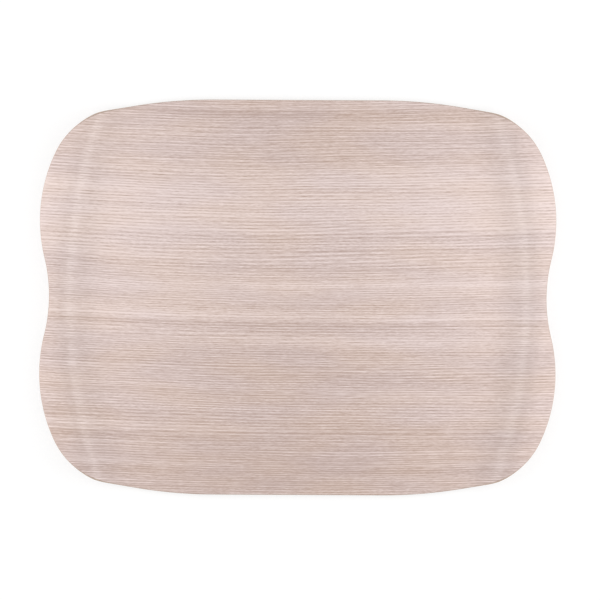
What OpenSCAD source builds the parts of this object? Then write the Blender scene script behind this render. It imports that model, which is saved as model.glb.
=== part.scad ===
// Serving tray pressed in one piece from thin crossed plies of wood between two face sheets.
// The base is flat. The two short ends rise in a soft wave, and are pinched in at the middle
// as grips for the hands. The long sides stay flat.
// Millimetres, +Z up, +X along the length. The origin is the centre of the underside.

/* [Overall size] */
// length over the widest parts of the two short ends
tray_length = 430; // [350:5:520]
// width over the two long sides
tray_width = 330; // [275:5:400]

/* [Outline] */
// how far each short end is pinched in at its middle
waist_depth = 8; // [4:0.5:12]
// distance from the middle line out to the widest point of a short end
bulge_place = 64; // [56:1:80]
// how far the circle of a bulge would run out past the long side: more makes fuller corners
end_fullness = 29; // [22:1:40]
// radius of the outline round the four corners
corner_radius = 65; // [45:1:80]
// radius of the outline where a long side starts to curve in
shoulder_radius = 400; // [300:10:500]
// half the length of the straight middle of a long side
straight_half = 70; // [40:1:100]

/* [Raised ends] */
// distance from the widest point of an end back to where it starts to rise
rise_reach = 48; // [40:1:60]
// radius of the bend line as seen from above
bend_plan_radius = 450; // [360:10:600]
// steepest slope of the wave, in degrees
ramp_angle = 37; // [25:1:45]
// hollow radius of the upper face at the foot of the wave
foot_radius = 40; // [30:1:50]
// radius of the upper face over the crest of the wave
crest_radius = 25; // [15:1:35]
// radius of the upper face where it turns down outside the crest
lip_radius = 70; // [45:1:100]

/* [Layers] */
// bottom backing sheet
backing_sheet = 0.3; // [0.2:0.05:0.6]
// outermost wood ply, both above and below, grain along the tray
face_ply = 0.35; // [0.25:0.05:0.8]
// wood ply with its grain across the tray
cross_ply = 0.4; // [0.25:0.05:0.8]
// inner wood ply with its grain along the tray
inner_ply = 0.35; // [0.25:0.05:0.8]
// decorative wood-grain sheet on top
decor_sheet = 0.3; // [0.2:0.05:0.6]

/* [Hidden] */
// largest gap between a curve and the short straights that stand for it
curve_fit = 0.03;
// how far an uncut layer runs past the outline before it is trimmed
trim_spare = 3;
// flat stretch of a raised end, and how much of it lies in the flat middle
end_flat = 55;
flat_lap = 8;
half_length = tray_length / 2;
half_width = tray_width / 2;

// layers from the bottom up, and the height of each layer's upper face
layers = [
  backing_sheet,
  face_ply, cross_ply, inner_ply, cross_ply, inner_ply, cross_ply, face_ply,
  decor_sheet,
];
function stack_height(count) = count == 0 ? 0 : layers[count - 1] + stack_height(count - 1);
tray_thick = stack_height(len(layers));

// centres of the outline's arcs in one quarter, each arc tangent to the next
bulge_radius = half_width - bulge_place + end_fullness;
waist_centre_gap = (pow(bulge_place, 2) + pow(waist_depth, 2)) / (2 * waist_depth);
waist_radius = waist_centre_gap - bulge_radius;
waist_centre = [half_length - waist_depth + waist_radius, 0];
bulge_centre = [half_length - bulge_radius, bulge_place];
shoulder_centre = [straight_half, half_width - shoulder_radius];
corner_centre = outer_meeting(
  bulge_centre, bulge_radius - corner_radius,
  shoulder_centre, shoulder_radius - corner_radius
);
waist_angle = asin(bulge_place / waist_centre_gap);
bulge_end_angle = direction(corner_centre - bulge_centre);
corner_end_angle = direction(corner_centre - shoulder_centre);

// plan of the raised ends
bend_line = half_length - rise_reach;
bend_centre = bend_line - bend_plan_radius;
outline_reach = max([for (p = quarter_outline()) norm(p - [bend_centre, 0])]) - bend_plan_radius;
rim_reach = outline_reach + trim_spare;
middle_half = bend_line - end_flat + flat_lap;
end_sweep = asin((half_width + trim_spare) / (bend_plan_radius - end_flat));

// section of the wave, measured out from the bend line and up from the underside
foot_centre = [0, tray_thick + foot_radius];
crest_centre = foot_centre + (foot_radius + crest_radius) * [sin(ramp_angle), -cos(ramp_angle)];
lip_centre = crest_centre - [0, lip_radius - crest_radius];
lip_reach = max(trim_spare, rim_reach - crest_centre[0]);
lip_sweep = asin(lip_reach / (lip_radius - tray_thick));

// compass direction of a flat vector, in degrees
function direction(v) = atan2(v[1], v[0]);

// the meeting point of two circles that lies furthest out from the origin
function outer_meeting(a, a_radius, b, b_radius) =
  let (
    gap = norm(b - a),
    along = (pow(a_radius, 2) - pow(b_radius, 2) + pow(gap, 2)) / (2 * gap),
    aside = sqrt(pow(a_radius, 2) - pow(along, 2)),
    unit = (b - a) / gap,
    foot = a + along * unit,
    left = foot + aside * [-unit[1], unit[0]],
    right = foot - aside * [-unit[1], unit[0]]
  )
  norm(left) > norm(right) ? left : right;

// number of short straights that stand for an arc
function arc_steps(radius, sweep) = ceil(abs(sweep) / (2 * acos(1 - curve_fit / radius)));

// points of an arc after its first one
function arc_points(centre, radius, from, to, steps) =
  [for (i = [1 : steps]) let (a = from + (to - from) * i / steps) centre + radius * [cos(a), sin(a)]];

function fitted_arc(centre, radius, from, to) =
  arc_points(centre, radius, from, to, arc_steps(radius, to - from));

// outline from the middle of the +X end round to the end of the straight on the +Y side
function quarter_outline() = concat(
  [[half_length - waist_depth, 0]],
  fitted_arc(waist_centre, waist_radius, 180, 180 - waist_angle),
  fitted_arc(bulge_centre, bulge_radius, -waist_angle, bulge_end_angle),
  fitted_arc(corner_centre, corner_radius, bulge_end_angle, corner_end_angle),
  fitted_arc(shoulder_centre, shoulder_radius, corner_end_angle, 90)
);

function turned_back(list) = [for (i = [len(list) - 1 : -1 : 0]) list[i]];
function past_first(list) = [for (i = [1 : len(list) - 1]) list[i]];

// whole outline, mirrored across both middle lines
function whole_outline() =
  let (
    quarter = quarter_outline(),
    left_back = turned_back([for (p = quarter) [-p[0], p[1]]]),
    left_front = past_first([for (p = quarter) -p]),
    right_front = turned_back(past_first([for (p = quarter) [p[0], -p[1]]]))
  )
  concat(quarter, left_back, left_front, right_front);

// section of one layer boundary, a given depth below the upper face of the tray
function wave_section(depth) = concat(
  [[-end_flat, tray_thick - depth], [0, tray_thick - depth]],
  arc_points(
    foot_centre, foot_radius + depth, -90, ramp_angle - 90, arc_steps(foot_radius, ramp_angle)
  ),
  arc_points(
    crest_centre, crest_radius - depth, ramp_angle + 90, 90, arc_steps(crest_radius, ramp_angle)
  ),
  arc_points(
    lip_centre, lip_radius - depth, 90, 90 - lip_sweep, arc_steps(lip_radius, lip_sweep)
  )
);

// one raised end of a layer, uncut, between two heights in the stack
module raised_end(low, high) {
  section = concat(wave_section(tray_thick - low), turned_back(wave_section(tray_thick - high)));
  translate([bend_centre, 0, 0])
    rotate_extrude(angle = 2 * end_sweep, start = -end_sweep)
      translate([bend_plan_radius, 0])
        polygon(section);
}

// one layer of the press, counted from the bottom, trimmed to the outline
module layer(index) {
  low = stack_height(index);
  high = stack_height(index + 1);
  intersection() {
    linear_extrude(height = tray_thick + foot_radius + crest_radius)
      polygon(whole_outline());
    union() {
      translate([-middle_half, -half_width - trim_spare, low])
        cube([2 * middle_half, tray_width + 2 * trim_spare, high - low]);
      raised_end(low, high);
      mirror([1, 0, 0])
        raised_end(low, high);
    }
  }
}

module bottom_backing_sheet() {
  color([0.74, 0.66, 0.60])
    layer(0);
}

module lower_face_ply() {
  color([0.80, 0.66, 0.50])
    layer(1);
}

module lower_cross_ply() {
  color([0.66, 0.50, 0.36])
    layer(2);
}

module lower_inner_ply() {
  color([0.80, 0.66, 0.50])
    layer(3);
}

module centre_cross_ply() {
  color([0.66, 0.50, 0.36])
    layer(4);
}

module upper_inner_ply() {
  color([0.80, 0.66, 0.50])
    layer(5);
}

module upper_cross_ply() {
  color([0.66, 0.50, 0.36])
    layer(6);
}

module upper_face_ply() {
  color([0.80, 0.66, 0.50])
    layer(7);
}

module top_decor_sheet() {
  color([0.84, 0.77, 0.74])
    layer(8);
}

bottom_backing_sheet();
lower_face_ply();
lower_cross_ply();
lower_inner_ply();
centre_cross_ply();
upper_inner_ply();
upper_cross_ply();
upper_face_ply();
top_decor_sheet();
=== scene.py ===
import math

import bmesh
import bpy
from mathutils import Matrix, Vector


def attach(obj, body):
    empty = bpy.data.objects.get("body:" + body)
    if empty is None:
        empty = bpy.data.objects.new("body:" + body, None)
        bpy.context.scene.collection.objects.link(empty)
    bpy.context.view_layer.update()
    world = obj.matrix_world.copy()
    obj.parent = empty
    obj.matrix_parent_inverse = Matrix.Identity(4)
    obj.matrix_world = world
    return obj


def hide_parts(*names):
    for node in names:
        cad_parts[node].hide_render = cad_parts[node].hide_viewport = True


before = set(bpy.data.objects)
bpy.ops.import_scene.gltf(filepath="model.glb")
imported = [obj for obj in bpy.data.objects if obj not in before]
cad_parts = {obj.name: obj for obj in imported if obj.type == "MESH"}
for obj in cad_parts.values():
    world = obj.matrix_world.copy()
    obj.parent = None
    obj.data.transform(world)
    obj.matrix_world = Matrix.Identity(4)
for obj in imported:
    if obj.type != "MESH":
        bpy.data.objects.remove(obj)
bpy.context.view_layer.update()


mmPerMetre = 1000
sameSpot = 0.00001  # metres: vertices closer than this are one


def deselectAll():
    for thing in list(bpy.context.selected_objects):
        thing.select_set(False)


def focusOn(thing):
    deselectAll()
    thing.select_set(True)
    bpy.context.view_layer.objects.active = thing


def enterEdit(thing, mode="VERT"):
    focusOn(thing)
    bpy.ops.object.mode_set(mode="EDIT")
    bpy.ops.mesh.select_mode(type=mode)
    bpy.ops.mesh.select_all(action="DESELECT")


def leaveEdit():
    bpy.ops.object.mode_set(mode="OBJECT")


def pick(thing, kind, test):
    # in edit mode: select just the vertices, edges or faces that pass the test
    bpy.ops.mesh.select_all(action="DESELECT")
    bm = bmesh.from_edit_mesh(thing.data)
    for part in getattr(bm, kind):
        if test(part):
            part.select_set(True)
    bm.select_flush_mode()
    bmesh.update_edit_mesh(thing.data)


def addModifier(thing, kind, **settings):
    focusOn(thing)
    bpy.ops.object.modifier_add(type=kind)
    modifier = thing.modifiers[-1]
    for name, value in settings.items():
        setattr(modifier, name, value)
    bpy.ops.object.modifier_apply(modifier=modifier.name)


def startPoint(name, place):
    # a single vertex to draw from: a small plane merged to its middle
    deselectAll()
    bpy.ops.mesh.primitive_plane_add(size=0.01, location=(0, 0, 0))
    thing = bpy.context.object
    thing.name = name
    thing.data.name = name
    enterEdit(thing)
    bpy.ops.mesh.select_all(action="SELECT")
    bpy.ops.mesh.merge(type="CENTER")
    bpy.ops.transform.translate(value=place)
    return thing


def drawLine(step, count):
    for i in range(count):
        bpy.ops.mesh.extrude_region_move(TRANSFORM_OT_translate={"value": step})


def drawArc(centre, degrees, steps, axis=(0, 0, 1)):
    # with no window, spin turns clockwise about its axis, so the angle is turned round
    bpy.ops.mesh.spin(steps=steps, angle=-math.radians(degrees), center=centre, axis=axis)


# the whole tray's form, in metres and degrees
trayForm = {
    "halfLength": 0.215,
    "halfWidth": 0.165,
    "thick": 0.0032,
    "waistDepth": 0.008,  # how far the middle of each end is drawn in
    "bulgePlace": 0.064,
    "endFullness": 0.029,
    "cornerRadius": 0.065,
    "shoulderRadius": 0.400,
    "straightHalf": 0.070,
    "riseReach": 0.048,  # from the end back to where the floor starts to rise
    "bendRadius": 0.450,  # the bend's curve seen from above
    "rampAngle": 37,
    "footRadius": 0.040,
    "crestRadius": 0.025,
    "lipRadius": 0.070,
}


def circlesMeet(a, aRadius, b, bRadius):
    # the meeting point further from the origin
    gap = (b - a).length
    along = (aRadius ** 2 - bRadius ** 2 + gap ** 2) / (2 * gap)
    aside = math.sqrt(aRadius ** 2 - along ** 2)
    unit = (b - a) / gap
    across = Vector((-unit.y, unit.x, 0))
    meetings = [a + along * unit + side * aside * across for side in (1, -1)]
    return max(meetings, key=lambda p: p.length)


def compass(v):
    return math.degrees(math.atan2(v.y, v.x))


def outlineArcs(form):
    # centre and sweep of each arc of one quarter, from the end's waist to the long side
    bulgeRadius = form["halfWidth"] - form["bulgePlace"] + form["endFullness"]
    reach = (form["bulgePlace"] ** 2 + form["waistDepth"] ** 2) / (2 * form["waistDepth"])
    waistRadius = reach - bulgeRadius
    waist = Vector((form["halfLength"] - form["waistDepth"] + waistRadius, 0, 0))
    bulge = Vector((form["halfLength"] - bulgeRadius, form["bulgePlace"], 0))
    shoulder = Vector((form["straightHalf"], form["halfWidth"] - form["shoulderRadius"], 0))
    corner = circlesMeet(bulge, bulgeRadius - form["cornerRadius"],
                         shoulder, form["shoulderRadius"] - form["cornerRadius"])
    waistTurn = math.degrees(math.asin(form["bulgePlace"] / reach))
    bulgeEnd = compass(corner - bulge)
    cornerEnd = compass(corner - shoulder)
    return {
        "waist": (waist, -waistTurn),
        "bulge": (bulge, bulgeEnd + waistTurn),
        "corner": (corner, cornerEnd - bulgeEnd),
        "shoulder": (shoulder, 90 - cornerEnd),
    }


# the mould: the wave of one raised end, spun round the bend's centre
mouldForm = {
    "footSteps": 72,
    "crestSteps": 48,
    "lipSteps": 40,
    "lipDegrees": 17,
    "sweepDegrees": 25.4,
    "sweepSteps": 255,  # an odd count, so no edge lies on the middle line
}


def makeMould(form, mould):
    bendLine = form["halfLength"] - form["riseReach"]
    bendCentre = bendLine - form["bendRadius"]
    rise = math.radians(form["rampAngle"])
    waveTop = form["footRadius"] + form["crestRadius"]
    foot = Vector((bendLine, 0, form["thick"] + form["footRadius"]))
    crest = foot + waveTop * Vector((math.sin(rise), 0, -math.cos(rise)))
    lip = crest - Vector((0, 0, form["lipRadius"] - form["crestRadius"]))
    thing = startPoint("mould", (bendLine, 0, form["thick"]))
    across = (0, -1, 0)
    drawArc(foot, form["rampAngle"], mould["footSteps"], across)
    drawArc(crest, -form["rampAngle"], mould["crestSteps"], across)
    drawArc(lip, -mould["lipDegrees"], mould["lipSteps"], across)
    bpy.ops.mesh.select_all(action="SELECT")
    bpy.ops.transform.rotate(value=math.radians(mould["sweepDegrees"]), orient_axis="Z",
                             center_override=(bendCentre, 0, 0))
    bpy.ops.mesh.spin(steps=mould["sweepSteps"], angle=-2 * math.radians(mould["sweepDegrees"]),
                      center=(bendCentre, 0, 0), axis=(0, 0, 1))
    leaveEdit()
    addModifier(thing, "MIRROR", use_axis=(True, False, False), use_mirror_merge=False)
    return thing


# the blank: one flat sheet in the tray's outline, before pressing
blankForm = {
    "straightSteps": 22,
    "shoulderSteps": 46,
    "cornerSideSteps": 16,
    "cornerEndSteps": 14,
    "bulgeSteps": 40,
    "waistSteps": 14,
    "rimWidth": 0.0009,
}


def makeBlank(form, blank):
    # one quarter: the outline arc by arc, a narrow rim inside it, then a grid over the rest
    arcs = outlineArcs(form)
    columns = blank["straightSteps"] + blank["shoulderSteps"] + blank["cornerSideSteps"]
    rows = blank["cornerEndSteps"] + blank["bulgeSteps"] + blank["waistSteps"]
    halfCorner = arcs["corner"][1] / 2
    waistX = form["halfLength"] - form["waistDepth"]
    shrinkX = 1 - blank["rimWidth"] / form["halfLength"]
    shrinkY = 1 - blank["rimWidth"] / form["halfWidth"]
    thing = startPoint("blank", (waistX, 0, form["thick"]))
    drawArc(arcs["waist"][0], arcs["waist"][1], blank["waistSteps"])
    drawArc(arcs["bulge"][0], arcs["bulge"][1], blank["bulgeSteps"])
    drawArc(arcs["corner"][0], halfCorner, blank["cornerEndSteps"])
    drawArc(arcs["corner"][0], halfCorner, blank["cornerSideSteps"])
    drawArc(arcs["shoulder"][0], arcs["shoulder"][1], blank["shoulderSteps"])
    drawLine((-form["straightHalf"] / blank["straightSteps"], 0, 0), blank["straightSteps"])
    bpy.ops.mesh.select_all(action="SELECT")
    bpy.ops.mesh.extrude_region_move(TRANSFORM_OT_translate={"value": (0, 0, 0)})
    bpy.ops.transform.resize(value=(shrinkX, shrinkY, 1), center_override=(0, 0, 0))
    bpy.ops.mesh.hide(unselected=True)  # leaves the rim's inner edge to work on
    pick(thing, "verts", lambda v: not v.hide and abs(v.co.x) < sameSpot)
    drawLine((0, -shrinkY * form["halfWidth"] / rows, 0), rows)
    start = form["straightHalf"]
    drawLine((start / blank["straightSteps"], 0, 0), blank["straightSteps"])
    rest = columns - blank["straightSteps"]
    drawLine(((shrinkX * waistX - start) / rest, 0, 0), rest)
    bpy.ops.mesh.select_all(action="SELECT")
    bpy.ops.mesh.remove_doubles(threshold=sameSpot)
    bm = bmesh.from_edit_mesh(thing.data)
    bm.select_history.clear()
    bm.select_history.add(min((v for v in bm.verts if not v.hide), key=lambda v: v.co.x + v.co.y))
    bpy.ops.mesh.fill_grid(span=rows)  # from the tray's middle, up the middle line first
    bpy.ops.mesh.reveal()
    leaveEdit()
    addModifier(thing, "MIRROR", use_axis=(True, True, False), merge_threshold=sameSpot)
    enterEdit(thing, "FACE")
    bpy.ops.mesh.select_all(action="SELECT")
    bpy.ops.mesh.remove_doubles(threshold=sameSpot)
    bpy.ops.mesh.normals_make_consistent(inside=False)
    if bmesh.from_edit_mesh(thing.data).faces[0].normal.z < 0:
        bpy.ops.mesh.flip_normals()
    leaveEdit()
    return thing


def pressed(sheet, mould):
    # the sheet rises to the mould straight above it; its flat middle stays where it is
    addModifier(sheet, "SHRINKWRAP", target=mould, wrap_method="PROJECT", use_project_z=True,
                use_positive_direction=True, use_negative_direction=False)


# the nine layers of the press, from the face down, each with its CAD node, its thickness, how
# far sanding draws its edge in, the bevel of its cut edge and the slot of its finish
layerForm = [
    {"name": "decorFace", "node": "top_decor_sheet", "thick": 0.00030, "drawIn": 0.00035,
     "bevel": 0.00014, "segments": 3, "slot": "decor_face"},
    {"name": "upperFacePly", "node": "upper_face_ply", "thick": 0.00035, "drawIn": 0.00010,
     "bevel": 0.00005, "segments": 1, "slot": "long_grain_ply"},
    {"name": "upperCrossPly", "node": "upper_cross_ply", "thick": 0.00040, "drawIn": 0.00003,
     "bevel": 0.00004, "segments": 1, "slot": "cross_grain_ply"},
    {"name": "upperInnerPly", "node": "upper_inner_ply", "thick": 0.00035, "drawIn": 0,
     "bevel": 0.00004, "segments": 1, "slot": "long_grain_ply"},
    {"name": "centreCrossPly", "node": "centre_cross_ply", "thick": 0.00040, "drawIn": 0.00003,
     "bevel": 0.00004, "segments": 1, "slot": "cross_grain_ply"},
    {"name": "lowerInnerPly", "node": "lower_inner_ply", "thick": 0.00035, "drawIn": 0,
     "bevel": 0.00004, "segments": 1, "slot": "long_grain_ply"},
    {"name": "lowerCrossPly", "node": "lower_cross_ply", "thick": 0.00040, "drawIn": 0.00003,
     "bevel": 0.00004, "segments": 1, "slot": "cross_grain_ply"},
    {"name": "lowerFacePly", "node": "lower_face_ply", "thick": 0.00035, "drawIn": 0.00010,
     "bevel": 0.00005, "segments": 1, "slot": "long_grain_ply"},
    {"name": "backingSheet", "node": "bottom_backing_sheet", "thick": 0.00030, "drawIn": 0.00035,
     "bevel": 0.00014, "segments": 3, "slot": "backing"},
]


smoothBelow = 30  # degrees: a bend sharper than this stays a crisp edge


def makeLayer(blank, mould, form, layer, depth, faceMaterial, cutMaterial):
    sheet = blank.copy()
    sheet.data = blank.data.copy()
    sheet.name = sheet.data.name = layer["name"]
    bpy.context.collection.objects.link(sheet)
    if layer["drawIn"]:
        enterEdit(sheet)
        pick(sheet, "verts", lambda v: v.is_boundary)
        bpy.ops.transform.resize(value=(1 - layer["drawIn"] / form["halfLength"],
                                        1 - layer["drawIn"] / form["halfWidth"], 1),
                                 center_override=(0, 0, 0))
        leaveEdit()
    pressed(sheet, mould)
    if depth:
        enterEdit(sheet)
        bpy.ops.mesh.select_all(action="SELECT")
        bpy.ops.transform.shrink_fatten(value=-depth)
        leaveEdit()
    sheet.data.materials.append(faceMaterial)
    sheet.data.materials.append(cutMaterial)
    addModifier(sheet, "SOLIDIFY", thickness=layer["thick"], offset=-1, material_offset_rim=1)
    # the cut edge: ease the two long corners of the rim all the way round
    enterEdit(sheet, "EDGE")
    pick(sheet, "edges", lambda e: {f.material_index for f in e.link_faces} == {0, 1})
    bpy.ops.mesh.bevel(offset=layer["bevel"], segments=layer["segments"], material=1)
    leaveEdit()
    focusOn(sheet)
    bpy.ops.object.shade_smooth_by_angle(angle=math.radians(smoothBelow))
    return sheet


def tone(red, green, blue):
    # a colour as seen, on a scale of 255, as the shader's linear light
    def linear(c):
        c = c / 255
        return c / 12.92 if c <= 0.04045 else ((c + 0.055) / 1.055) ** 2.4
    return (linear(red), linear(green), linear(blue), 1)


class Signal:
    # one value in a finish: sums on it add Math nodes
    def __init__(self, board, socket):
        self.board = board
        self.socket = socket

    def join(self, operation, first, second):
        return self.board.add("ShaderNodeMath", {"operation": operation}, {0: first, 1: second})

    def __add__(self, other):
        return self.join("ADD", self, other)

    def __radd__(self, other):
        return self.join("ADD", other, self)

    def __sub__(self, other):
        return self.join("SUBTRACT", self, other)

    def __rsub__(self, other):
        return self.join("SUBTRACT", other, self)

    def __mul__(self, other):
        return self.join("MULTIPLY", self, other)

    def __rmul__(self, other):
        return self.join("MULTIPLY", other, self)

    def __truediv__(self, other):
        return self.join("DIVIDE", self, other)

    def swing(self, reach):
        # a noise lies round 0.5, so this goes as far below nothing as above it
        return (self - 0.5) * reach

    def held(self):
        return self.board.add("ShaderNodeClamp", {}, {"Value": self, "Min": 0, "Max": 1})


class Board:
    # the node tree of one finish, or of the air round the tray
    def __init__(self, owner, outputKind="ShaderNodeOutputMaterial"):
        self.owner = owner
        self.owner.use_nodes = True
        self.tree = self.owner.node_tree
        self.tree.nodes.clear()
        self.output = self.tree.nodes.new(outputKind)

    def add(self, kind, settings, sockets, take=0):
        node = self.tree.nodes.new(kind)
        for name, value in settings.items():
            if name == "stops":
                elements = node.color_ramp.elements
                while len(elements) < len(value):
                    elements.new(0.5)
                for element, (place, level) in zip(elements, value):
                    element.position = place
                    element.color = (level, level, level, 1)
            else:
                setattr(node, name, value)
        for name, value in sockets.items():
            if isinstance(value, Signal):
                self.tree.links.new(value.socket, node.inputs[name])
            else:
                node.inputs[name].default_value = value
        return Signal(self, node.outputs[take])

    def noise(self, along, across, detail=0):
        spot = self.add("ShaderNodeCombineXYZ", {}, {0: along, 1: across})
        return self.add("ShaderNodeTexNoise", {"noise_dimensions": "2D"}, {
            "Vector": spot, "Scale": 1, "Detail": detail, "Roughness": 0.5})

    def grain(self, spot, sizeMm, detail):
        # noise in three directions, its size along each in millimetres
        steps = self.add("ShaderNodeMapping", {"vector_type": "POINT"}, {
            "Vector": spot, "Scale": tuple(mmPerMetre / size for size in sizeMm)})
        return self.add("ShaderNodeTexNoise", {"noise_dimensions": "3D"}, {
            "Vector": steps, "Scale": 1, "Detail": detail})

    def ramp(self, value, stops):
        return self.add("ShaderNodeValToRGB", {"stops": stops}, {0: value})

    def wave(self, turns):
        return self.add("ShaderNodeMath", {"operation": "SINE"}, {0: turns * (2 * math.pi)})

    def mixColour(self, factor, first, second):
        sockets = {0: factor, 6: first, 7: second}
        return self.add("ShaderNodeMix", {"data_type": "RGBA"}, sockets, 2)

    def finish(self, shader):
        self.tree.links.new(shader.socket, self.output.inputs["Surface"])
        return self.owner


# the pale face veneer: nearly straight grain along the tray, in paler and darker zones across
# it; sizes are millimetres, along the tray first, a depth is how much it lightens or darkens, and
# a start is where in the pattern a layer begins, so that no two run alike
woodFace = {
    "darkTone": (176, 150, 137),
    "lightTone": (241, 224, 219),
    "peachTone": (223, 197, 183),
    "lilacTone": (214, 195, 196),
    "tintShare": 0.22,
    "tintSize": (70, 20),
    "tintSwing": (2.4, 0.7),  # how fast it turns from lilac to peach, and where it starts
    # how light the wood is, from the front long side (0) to the back one (1)
    "zones": [(0.00, 0.34), (0.08, 0.36), (0.14, 0.38), (0.20, 0.43), (0.35, 0.44), (0.41, 0.53),
              (0.46, 0.61), (0.56, 0.61), (0.65, 0.62), (0.73, 0.72), (0.79, 0.66), (0.84, 0.53),
              (0.92, 0.48), (1.00, 0.48)],
    # how coarse the growth lines are, the same way
    "coarse": [(0.00, 0.45), (0.14, 0.50), (0.17, 1.00), (0.24, 1.00), (0.27, 0.35), (0.36, 0.35),
               (0.40, 0.85), (0.46, 0.45), (0.55, 0.55), (0.60, 0.90), (0.80, 1.00), (0.84, 0.55),
               (1.00, 0.65)],
    # painted shade and painted light about 0.5, from the left end (0) to the right one (1): darker
    # across the middle, lighter towards both ends, with smaller paler and darker stretches of the
    # wood on it
    "along": [(0.00, 0.53), (0.04, 0.51), (0.12, 0.56), (0.22, 0.52), (0.36, 0.44), (0.50, 0.41),
              (0.62, 0.44), (0.72, 0.50), (0.85, 0.56), (0.97, 0.59), (1.00, 0.52)],
    # single bands: the place across the tray, half the width, and the depth
    "bands": [(152, 4, -0.11), (57, 3.5, 0.10), (48, 3.5, -0.07), (25, 4, -0.09), (9, 4, 0.10),
              (-3, 4, -0.10), (-18, 3, 0.10), (-24.5, 3, -0.16), (-38, 4, 0.12), (-50, 4, -0.06),
              (-110, 4, 0.07), (-120, 4, -0.09), (-147, 4, -0.10)],
    "bandSize": (110, 30),  # along a band its depth comes and goes
    "bandFade": (1.6, 0.2),  # by how much, and how much is always there
    "lean": 0.009,  # the lines run a little towards the front on their way to the right, and
    "sag": -0.00010,  # they sag, so that they rise again past the middle
    "wander": [(300, 110, 5), (90, 26, 1.4)],  # and how far they drift sideways as they run
    # even growth rings: spacing, depth and start
    "coarseRings": (2.72, 0.24, 0),
    "fineRings": (1.9, 0.24, 200),
    "ringWander": [(700, 42, 4), (260, 12, 1.2)],  # in turns of the ring
    "ringTotal": 1.3,  # the coarse and the fine set's shares together
    "ringSize": (12, 4),  # the rings come and go along their run
    "ringFade": (2.4, 0.2),  # by how much, and how much of that is lost
    "ringFadeStart": 50,
    # streaks of chance: length, width and depth
    "growth": (15, 0.85, 0.44),
    "broad": (320, 6, 0.42),
    "broadStart": 400,
    "fleck": (3.2, 0.75, 0.85),
    "fleckSlip": (1.7, 22),  # so that the pores of one line miss the next's
    "bumpHeight": 0.00005,  # metres
    "bumpStrength": 0.25,
    "roughness": 0.46,
    "roughnessSwing": 0.25,  # pale growth lines are a little glossier
    "coat": 0.45,
    "coatRoughness": 0.30,
}


def woodFinish(name, wood, turned=1, shift=0):
    # the height above the floor is left out, so the grain runs straight on up the raised ends
    board = Board(bpy.data.materials.new(name))
    spot = board.add("ShaderNodeTexCoord", {}, {}, "Object")
    x = board.add("ShaderNodeSeparateXYZ", {}, {0: spot}, "X") * (mmPerMetre * turned)
    y = board.add("ShaderNodeSeparateXYZ", {}, {0: spot}, "Y") * mmPerMetre
    alongTray = (x * turned) / (2 * mmPerMetre * trayForm["halfLength"]) + 0.5
    drift = y + x * wood["lean"] + x * x * wood["sag"]
    x = x + shift
    for length, width, reach in wood["wander"]:
        drift = drift + board.noise(x / length, y / width).swing(reach)

    def streaks(size, detail=0, start=0):
        return board.noise((x + start) / size[0], drift / size[1], detail)

    def rings(ringSet):
        spacing, depth, start = ringSet
        turns = drift / spacing
        for length, width, reach in wood["ringWander"]:
            turns = turns + streaks((length, width), start=start) * reach
        fade = streaks(wood["ringSize"], start=start + wood["ringFadeStart"])
        return board.wave(turns) * (fade * wood["ringFade"][0] - wood["ringFade"][1]) * depth

    acrossTray = drift / (2 * mmPerMetre * trayForm["halfWidth"]) + 0.5
    coarse = board.ramp(acrossTray, wood["coarse"])
    bands = 0
    for place, halfWidth, depth in wood["bands"]:
        off = (drift - place) / halfWidth
        bands = bands + (1 - off * off).held() * depth
    bands = bands * (streaks(wood["bandSize"]) * wood["bandFade"][0] + wood["bandFade"][1])
    growth = streaks(wood["growth"]).swing(wood["growth"][2])
    broad = streaks(wood["broad"], detail=1, start=wood["broadStart"]).swing(wood["broad"][2])
    slip = board.noise(0, drift / wood["fleckSlip"][0]) * wood["fleckSlip"][1]
    length, width, depth = wood["fleck"]
    fleck = board.noise((x + slip) / length, drift / width, detail=1).swing(depth)
    fine = wood["ringTotal"] - coarse
    lines = rings(wood["coarseRings"]) * coarse + rings(wood["fineRings"]) * fine + growth
    # the along ramp adds painted shade across the middle of the tray and painted light towards
    # both ends, on the face and the underside alike; the zones ramp is the wood's own tone
    zones = board.ramp(acrossTray, wood["zones"]) + board.ramp(alongTray, wood["along"]) - 0.5
    lightness = (zones + bands + broad + lines + fleck).held()
    tint = board.noise(x / wood["tintSize"][0], y / wood["tintSize"][1])
    plain = board.mixColour(lightness, tone(*wood["darkTone"]), tone(*wood["lightTone"]))
    warmth = (tint * wood["tintSwing"][0] - wood["tintSwing"][1]).held()
    tinted = board.mixColour(warmth, tone(*wood["lilacTone"]), tone(*wood["peachTone"]))
    bump = board.add("ShaderNodeBump", {}, {
        "Strength": wood["bumpStrength"], "Distance": wood["bumpHeight"], "Height": lines + fleck})
    return board.finish(board.add("ShaderNodeBsdfPrincipled", {}, {
        "Base Color": board.mixColour(wood["tintShare"], plain, tinted),
        "Roughness": wood["roughness"] - lines * wood["roughnessSwing"],
        "Normal": bump,
        "Coat Weight": wood["coat"],
        "Coat Roughness": wood["coatRoughness"],
    }))


# the cut edge: long-grain plies show pale and smooth, cross-grain plies darker end grain
plyEdge = {
    "long": {"darkTone": (194, 170, 151), "lightTone": (226, 208, 192),
             "grainMm": (9, 9, 0.16), "roughness": 0.6},
    "cross": {"darkTone": (162, 135, 116), "lightTone": (194, 169, 149),
              "grainMm": (0.7, 0.7, 0.25), "roughness": 0.65},
    "decor": {"darkTone": (164, 141, 134), "lightTone": (200, 179, 172),
              "grainMm": (6, 6, 0.2), "roughness": 0.5},
}
# what all cut edges share
cutEdge = {
    "fibreSwing": (1.6, 0.3),  # how strongly the fibres show, and how much that darkens
    "stainMm": (25, 25, 25),
    "stainShare": 0.5,
    "bumpHeight": 0.00004,  # metres
    "bumpStrength": 0.3,
    "roughnessSwing": 0.2,
}


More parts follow.
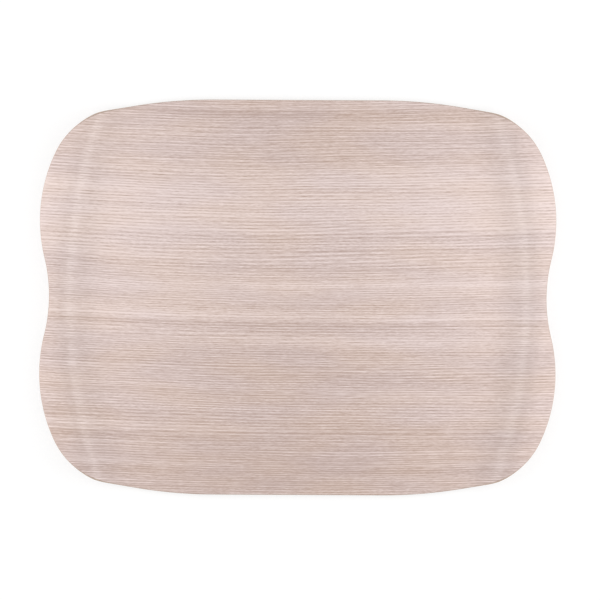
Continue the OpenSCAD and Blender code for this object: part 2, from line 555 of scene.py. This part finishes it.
def edgeFinish(name, ply, edge):
    board = Board(bpy.data.materials.new(name))
    spot = board.add("ShaderNodeTexCoord", {}, {}, "Object")
    fibre = board.grain(spot, ply["grainMm"], 2)
    stain = board.grain(spot, edge["stainMm"], 1).swing(edge["stainShare"])
    level = (fibre * edge["fibreSwing"][0] - edge["fibreSwing"][1] + stain).held()
    bump = board.add("ShaderNodeBump", {}, {
        "Strength": edge["bumpStrength"], "Distance": edge["bumpHeight"], "Height": fibre})
    return board.finish(board.add("ShaderNodeBsdfPrincipled", {}, {
        "Base Color": board.mixColour(level, tone(*ply["darkTone"]), tone(*ply["lightTone"])),
        "Roughness": ply["roughness"] + fibre.swing(edge["roughnessSwing"]),
        "Normal": bump,
    }))


mould = makeMould(trayForm, mouldForm)
print("mould spun")
blank = makeBlank(trayForm, blankForm)
print("blank drawn:", len(blank.data.polygons), "faces")

# the underside is the same veneer turned over, from further along the log
decorTop = woodFinish("decorFace", woodFace)
decorUnder = woodFinish("decorUnderside", woodFace, turned=-1, shift=700)
decorCut = edgeFinish("decorCutEdge", plyEdge["decor"], cutEdge)
longPly = edgeFinish("longGrainPly", plyEdge["long"], cutEdge)
crossPly = edgeFinish("crossGrainPly", plyEdge["cross"], cutEdge)
finishes = {
    "decor_face": (decorTop, decorCut),
    "backing": (decorUnder, decorCut),
    "long_grain_ply": (longPly, longPly),
    "cross_grain_ply": (crossPly, crossPly),
}
print("finishes mixed:", len(finishes))

depth = 0
for layer in layerForm:
    sheet = makeLayer(blank, mould, trayForm, layer, depth, *finishes[layer["slot"]])
    depth += layer["thick"]
    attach(sheet, "root")
    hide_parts(layer["node"])
print("layers pressed:", len(layerForm))

for helper in (mould, blank):
    bpy.data.objects.remove(helper)


# a plain pale floor, two softboxes and a camera straight above
studio = {
    "floorSize": 12,
    "floorDrop": 0.0002,
    "floorTone": (250, 250, 250),
    "floorGlow": 1.06,  # the white that the camera sees mixed into the floor, and its share
    "floorGlowShare": 0.62,
    "airStrength": 0.66,
    "softboxPlace": (0.72, 0, 0.34),
    "softboxSize": (0.9, 0.35),
    "leftPower": 3.0,
    "rightPower": 3.3,
    "cameraPlace": (0.0019, -0.0021, 3.0),
    "cameraRoll": 0.3,
    "viewWidth": 0.5018,  # how much of the floor the picture takes in
    "sensorMm": 36,
}


def makeFloor(settings):
    deselectAll()
    bpy.ops.mesh.primitive_plane_add(size=settings["floorSize"],
                                     location=(0, 0, -settings["floorDrop"]))
    floor = bpy.context.object
    floor.name = "floor"
    board = Board(bpy.data.materials.new("floorPaper"))
    paper = board.add("ShaderNodeBsdfDiffuse", {}, {"Color": tone(*settings["floorTone"])})
    glow = board.add("ShaderNodeEmission", {}, {"Strength": settings["floorGlow"]})
    ray = board.add("ShaderNodeLightPath", {}, {}, "Is Camera Ray")
    shade = board.add("ShaderNodeMixShader", {}, {
        0: ray * settings["floorGlowShare"], 1: paper, 2: glow})
    floor.data.materials.append(board.finish(shade))


def makeSoftbox(name, settings, side, power):
    x, y, z = settings["softboxPlace"]
    place = Vector((side * x, y, z))
    deselectAll()
    bpy.ops.object.light_add(type="AREA", location=place)
    lamp = bpy.context.object
    lamp.name = name
    lamp.data.shape = "RECTANGLE"
    lamp.data.size, lamp.data.size_y = settings["softboxSize"]
    lamp.data.energy = power
    lamp.rotation_euler = (-place).to_track_quat("-Z", "Y").to_euler()  # faces the tray's middle
    lamp.visible_camera = False


def makeAir(settings):
    # it lights the tray at its own strength and is seen as plain white
    world = bpy.data.worlds.new("studioAir")
    board = Board(world, "ShaderNodeOutputWorld")
    ray = board.add("ShaderNodeLightPath", {}, {}, "Is Camera Ray")
    strength = settings["airStrength"] + ray * (1 - settings["airStrength"])
    board.finish(board.add("ShaderNodeBackground", {}, {
        "Color": (1, 1, 1, 1), "Strength": strength}))
    bpy.context.scene.world = world


def makeCamera(settings):
    deselectAll()
    bpy.ops.object.camera_add(location=settings["cameraPlace"],
                              rotation=(0, 0, math.radians(settings["cameraRoll"])))
    camera = bpy.context.object
    camera.name = "overheadCamera"
    camera.data.sensor_width = settings["sensorMm"]
    camera.data.lens = settings["sensorMm"] * settings["cameraPlace"][2] / settings["viewWidth"]
    camera.data.dof.use_dof = False
    bpy.context.scene.camera = camera
    bpy.context.scene.view_settings.view_transform = "Standard"


makeFloor(studio)
makeSoftbox("leftSoftbox", studio, -1, studio["leftPower"])
makeSoftbox("rightSoftbox", studio, 1, studio["rightPower"])
makeAir(studio)
makeCamera(studio)
print("studio set")
